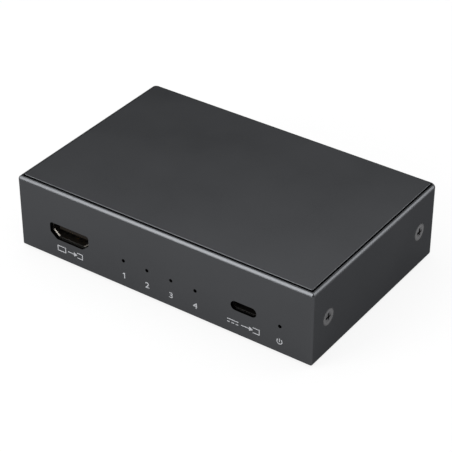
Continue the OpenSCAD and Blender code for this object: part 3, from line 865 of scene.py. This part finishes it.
@dataclass
class PanelMarks:
    """Prints on the front panel: a number under each light and a sign under each socket."""

    # All marks.
    height: float = 2.05 * MM
    stroke: float = 0.3 * MM
    corner: float = 0.105 * MM
    corner_steps: int = 3
    sunk: float = 0.004 * MM
    proud: float = 0.008 * MM
    middle_z: float = 5.15 * MM
    # Digits, and the flag of the one.
    widen: float = 1.2
    bolder: float = 0.014
    curve_steps: int = 6
    stem_w: float = 0.36 * MM
    flag_w: float = 0.5 * MM
    flag_h: float = 0.45 * MM
    flag_drop: float = 0.35 * MM
    # The arrow, and how far its tip is in its bay.
    arrow_r: float = 0.9225 * MM
    arrow_corner: float = 0.09 * MM
    tip_in: float = 0.1 * MM
    # The sign of the video input.
    input_w: float = 9.9 * MM
    input_bay_w: float = 2.2 * MM
    screen_w: float = 3.3 * MM
    screen_gap: float = 0.7 * MM
    # The sign of the power input.
    power_w: float = 11.4 * MM
    power_bay_w: float = 2.4 * MM
    current_w: float = 4.0 * MM
    current_gap: float = 0.9 * MM
    dash_w: float = 1.0 * MM
    # The sign of the power light.
    ring_sides: int = 48
    ring_opening: float = math.radians(35)
    switch_low: float = -0.205 * MM

    def build(self) -> None:
        """Prints every mark where its light or socket is."""
        digits = [self._one(), *(self._digit(text) for text in "234")]
        for number, digit in enumerate(digits, 1):
            self._print(digit, f"status_led_{number}")
        self._print(self._input_sign(), "input_shell")
        self._print(self._current_sign(), "power_shell")
        self._print(self._switch_sign(), "power_led")

    def _print(self, mark: bpy.types.Object, node: str) -> None:
        """Turns a flat mark face up, thickens it, puts it on the panel under a node and inks it.

        Args:
            mark: The mark, drawn flat round the origin.
            node: The CAD node that it stands under.
        """
        low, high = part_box(node)
        panel_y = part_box("base_tray")[0].y
        Bench.pick_faces(mark, lambda face: face.normal.z < 0)
        bpy.ops.mesh.flip_normals()
        bpy.ops.object.mode_set(mode="OBJECT")
        Bench.modify(mark, "SOLIDIFY", thickness=self.sunk + self.proud, offset=-1.0)
        mark.rotation_euler = (math.pi / 2, 0, 0)
        mark.location = ((low.x + high.x) / 2, panel_y - self.proud, self.middle_z)
        Bench.settle(mark)
        add_piece(mark, PANEL_INK)

    def _digit(self, text: str) -> bpy.types.Object:
        """Draws a number in the built-in font.

        Args:
            text: The number.

        Returns:
            The flat mark.
        """
        Bench.clear()
        bpy.ops.object.text_add()
        letter = bpy.context.object
        letter.data.body = text
        letter.data.offset = self.bolder
        letter.data.resolution_u = self.curve_steps
        bpy.ops.object.convert(target="MESH")
        digit = bpy.context.object
        digit.name = digit.data.name = f"digit_{text}"
        xs = [vertex.co.x for vertex in digit.data.vertices]
        ys = [vertex.co.y for vertex in digit.data.vertices]
        tall = self.height / (max(ys) - min(ys))
        wide = tall * self.widen
        digit.scale = (wide, tall, tall)
        digit.location = (-wide * (min(xs) + max(xs)) / 2, -tall * (min(ys) + max(ys)) / 2, 0)
        Bench.settle(digit)
        return digit

    def _one(self) -> bpy.types.Object:
        """Draws the number one with a flag, which the built-in font leaves out.

        Returns:
            The flat mark.
        """
        top, left = self.height / 2, (self.flag_w - self.stem_w) / 2
        one = self._block(left, left + self.stem_w, -top, top)
        one.name = one.data.name = "digit_1"
        middle = left + self.stem_w / 2
        with Bench.editing(one):
            bpy.ops.mesh.bisect(plane_co=(0, top - self.flag_h, 0), plane_no=(0, 1, 0))
            bpy.ops.mesh.select_all(action="SELECT")
            Bench.keep_edges(one, lambda a, b: max(a.x, b.x) < middle and a.y + b.y > top)
            bpy.ops.mesh.extrude_edges_move(
                TRANSFORM_OT_translate={"value": (-self.flag_w, -self.flag_drop, 0)}
            )
        return one

    def _block(self, left: float, right: float, low: float, high: float) -> bpy.types.Object:
        """Draws a filled block with sharp corners.

        Args:
            left: Its left side.
            right: Its right side.
            low: Its lower side.
            high: Its upper side.

        Returns:
            The flat block, to be shaped further.
        """
        Bench.clear()
        bpy.ops.mesh.primitive_plane_add(size=1, location=((left + right) / 2, (low + high) / 2, 0))
        block = bpy.context.object
        block.scale = (right - left, high - low, 1)
        Bench.settle(block)
        return block

    def _round(self, mark: bpy.types.Object, radius: float) -> None:
        """Rounds the corners of a flat mark."""
        with Bench.editing(mark):
            bpy.ops.mesh.bevel(offset=radius, segments=self.corner_steps, affect="VERTICES")

    def _bar(self, left: float, right: float, middle: float) -> bpy.types.Object:
        """Draws a level stroke with rounded corners.

        Args:
            left: Its left end.
            right: Its right end.
            middle: The height of its middle.

        Returns:
            The flat mark.
        """
        bar = self._block(left, right, middle - self.stroke / 2, middle + self.stroke / 2)
        self._round(bar, self.corner)
        return bar

    def _frame(self, left: float, right: float) -> bpy.types.Object:
        """Draws an empty frame over the full height of a mark.

        Args:
            left: Its left side.
            right: Its right side.

        Returns:
            The flat mark.
        """
        outline = self._block(left, right, -self.height / 2, self.height / 2)
        self._hollow(outline)
        return outline

    def _hollow(self, mark: bpy.types.Object) -> None:
        """Leaves only a stroke along the outline of a flat mark.

        Args:
            mark: The filled mark.
        """
        with Bench.editing(mark):
            bpy.ops.mesh.inset(thickness=self.stroke)
            bpy.ops.mesh.delete(type="FACE")

    def _arrow(self, left: float, right: float) -> list[bpy.types.Object]:
        """Draws an arrow that points right.

        Args:
            left: Its tail.
            right: Its tip.

        Returns:
            The flat marks of its shaft and head.
        """
        # The base of the head lies one and a half radii behind its tip.
        shaft = self._bar(left, right - 1.5 * self.arrow_r, 0)
        Bench.clear()
        bpy.ops.mesh.primitive_circle_add(
            vertices=3, radius=self.arrow_r, fill_type="NGON",
            location=(right - self.arrow_r, 0, 0), rotation=(0, 0, -math.pi / 2),
        )
        head = bpy.context.object
        Bench.settle(head)
        self._round(head, self.arrow_corner)
        return [shaft, head]

    def _bay(self, left: float, right: float) -> bpy.types.Object:
        """Draws a bay that is open to the left.

        Args:
            left: Its open side.
            right: Its closed side.

        Returns:
            The flat mark.
        """
        bay = self._frame(left - self.stroke, right)
        with Bench.editing(bay):
            bpy.ops.mesh.bisect(plane_co=(left, 0, 0), plane_no=(1, 0, 0), clear_inner=True)
        return bay

    def _way_in(self, left: float, right: float, bay_w: float) -> list[bpy.types.Object]:
        """Draws an arrow into a bay.

        Args:
            left: The arrow's tail.
            right: The bay's closed side.
            bay_w: The bay's width.

        Returns:
            The flat marks of the arrow and the bay.
        """
        mouth = right - bay_w
        return [*self._arrow(left, mouth + self.tip_in), self._bay(mouth, right)]

    def _input_sign(self) -> bpy.types.Object:
        """Draws a screen, and an arrow into a bay.

        Returns:
            The flat mark.
        """
        end = self.input_w / 2
        screen_end = self.screen_w - end
        parts = [self._frame(-end, screen_end)]
        parts += self._way_in(screen_end + self.screen_gap, end, self.input_bay_w)
        return Bench.join(parts, "input_sign")

    def _current_sign(self) -> bpy.types.Object:
        """Draws a long bar over three dashes, and an arrow into a bay.

        Returns:
            The flat mark.
        """
        end, rise = self.power_w / 2, self.height / 4
        current_end = self.current_w - end
        parts = [self._bar(-end, current_end, rise)]
        for step in range(3):
            left = step * (self.current_w - self.dash_w) / 2 - end
            parts.append(self._bar(left, left + self.dash_w, -rise))
        parts += self._way_in(current_end + self.current_gap, end, self.power_bay_w)
        return Bench.join(parts, "current_sign")

    def _switch_sign(self) -> bpy.types.Object:
        """Draws a ring that is open at the top, with a bar in the opening.

        Returns:
            The flat mark.
        """
        radius, half = self.height / 2, self.stroke / 2
        Bench.clear()
        bpy.ops.mesh.primitive_circle_add(
            vertices=self.ring_sides, radius=radius, fill_type="NGON"
        )
        ring = bpy.context.object
        self._hollow(ring)
        Bench.pick_faces(
            ring, lambda face: abs(math.atan2(face.center.x, face.center.y)) < self.ring_opening
        )
        bpy.ops.mesh.delete(type="FACE")
        bpy.ops.object.mode_set(mode="OBJECT")
        bar = self._block(-half, half, self.switch_low, radius)
        self._round(bar, self.corner)
        return Bench.join([ring, bar], "switch_sign")


def stand(name: str, data: bpy.types.ID, place: Point, target: Point) -> bpy.types.Object:
    """Stands a lamp or the camera in its place.

    Args:
        name: Its name.
        data: The light or camera.
        place: Where it stands.
        target: The point that it faces.

    Returns:
        Its object.
    """
    thing = bpy.data.objects.new(name, data)
    thing.location = place
    towards = Vector(target) - thing.location
    thing.rotation_euler = towards.to_track_quat("-Z", "Y").to_euler()
    bpy.context.scene.collection.objects.link(thing)
    return thing


@dataclass(frozen=True)
class Lamp:
    """A soft box: where it stands, what it faces, its width and height, and its power."""

    name: str
    place: Point
    target: Point
    width: float
    height: float
    power: float

    def build(self) -> None:
        """Hangs the lamp."""
        data = bpy.data.lights.new(self.name, "AREA")
        data.energy = self.power
        data.shape = "RECTANGLE"
        data.size = self.width
        data.size_y = self.height
        stand(self.name, data, self.place, self.target).visible_camera = False


@dataclass
class Studio:
    """The floor, the soft light round the part and the camera."""

    eye: Point = (247.87 * MM, -354.28 * MM, 302.15 * MM)
    target: Point = (0.99 * MM, -1.87 * MM, 10.4 * MM)
    lens: float = 134.53
    floor_side: float = 6.0
    floor_tone: float = 0.62
    floor_glow: float = 0.85
    mirrored_glow: float = 0.52
    # How steeply one looks up at each band of the sky, and its light.
    sky: tuple[tuple[float, float], ...] = ((0.27, 0.7), (0.4, 0.01), (0.5, 0.01), (0.64, 1.95))
    lamps: tuple[Lamp, ...] = (
        Lamp("key", (-0.30, -0.57, 0.28), (0.0, 0.0, 0.02), 0.36, 0.45, 4.4),
        Lamp("side", (0.50, 0.49, 0.20), (0.0, 0.0, 0.02), 0.25, 0.34, 1.43),
        Lamp("front", (0.18, -0.505, 0.32), (-0.034, -0.035, 0.011), 0.1, 0.1, 0.2),
    )

    def build(self) -> None:
        """Sets up the whole studio."""
        bpy.context.scene.view_settings.view_transform = "Standard"
        self._lay_floor()
        self._light_world()
        for lamp in self.lamps:
            lamp.build()
        self._place_camera()
        LOG.info("studio: floor, %d lamps, camera", len(self.lamps))

    def _lay_floor(self) -> None:
        """Lays a pale floor that looks white and keeps a soft shadow."""
        Bench.clear()
        bpy.ops.mesh.primitive_plane_add(size=self.floor_side)
        floor = bpy.context.object
        floor.name = "floor"
        floor.data.materials.append(make_material("pale_floor", self._shade_floor))

    def _shade_floor(self, nodes: Nodes) -> Value:
        """Lets a matt floor glow where it is seen, mirrored or looked at through a lens.

        Args:
            nodes: The floor's nodes.

        Returns:
            Its shader.
        """
        seen = nodes.add("ShaderNodeLightPath", {}, {}, "Is Camera Ray")
        rays = (seen.sibling("Is Glossy Ray"), seen.sibling("Is Transmission Ray"))
        mirrored = self.mirrored_glow * nodes.math("MAXIMUM", *rays)
        share = nodes.math("MAXIMUM", self.floor_glow * seen, mirrored)
        matt = nodes.add("ShaderNodeBsdfDiffuse", {}, {"Color": grey(self.floor_tone)})
        glow = nodes.add("ShaderNodeEmission", {}, {"Color": grey(1.0)})
        return nodes.add("ShaderNodeMixShader", {}, {0: share, 1: matt, 2: glow})

    def _light_world(self) -> None:
        """Makes a pale horizon, a dim band above it and a broad soft light overhead."""
        world = bpy.data.worlds.new("studio")
        world.use_nodes = True
        bpy.context.scene.world = world
        nodes = Nodes(world.node_tree)
        towards = nodes.add("ShaderNodeTexCoord", {}, {}, "Generated")
        rise = nodes.add("ShaderNodeSeparateXYZ", {}, {"Vector": towards}, "Z")
        most = max(light for _, light in self.sky)
        stops = [(height, grey(light / most)) for height, light in self.sky]
        bands = nodes.add("ShaderNodeValToRGB", {"stops": stops}, {"Fac": rise})
        shine = nodes.add("ShaderNodeBackground", {}, {"Color": bands, "Strength": most})
        nodes.add("ShaderNodeOutputWorld", {}, {"Surface": shine})

    def _place_camera(self) -> None:
        """Puts the camera where the photograph was taken from."""
        data = bpy.data.cameras.new("camera")
        data.lens = self.lens
        bpy.context.scene.camera = stand("camera", data, self.eye, self.target)


def main() -> None:
    """Dresses the part, prints its marks and sets up the studio."""
    logging.basicConfig(level=logging.INFO, format="%(name)s: %(message)s")
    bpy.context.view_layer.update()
    Housing().dress()
    sockets = Sockets()
    sockets.build()
    sockets.dress()
    Indicators().dress()
    BoardWorks().dress()
    PanelMarks().build()
    Studio().build()


if __name__ == "__main__":
    main()
